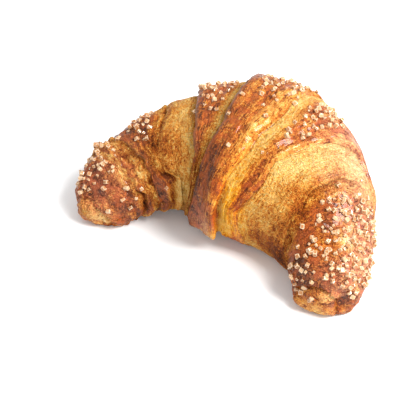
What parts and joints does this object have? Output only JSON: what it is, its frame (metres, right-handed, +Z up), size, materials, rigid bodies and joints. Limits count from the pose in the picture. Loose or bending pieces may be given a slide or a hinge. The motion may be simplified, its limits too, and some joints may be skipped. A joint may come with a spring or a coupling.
{
  "type": "croissant",
  "caption": "Baked crescent roll of layered dough with raised wraps, a front flap and coarse sugar grains on its browned top.",
  "frame": {"origin": "middle of the underside, on the surface that it rests on", "axes": "+X across the crescent towards the right horn, +Y towards the convex back, +Z up; the horns reach towards -Y"},
  "size_m": [0.1508, 0.0915, 0.0677],
  "materials": {
    "crust": "satin",
    "sugar": "gloss"
  },
  "bodies": {
    "root": {"croissant": "crust"}
  },
  "joints": []
}
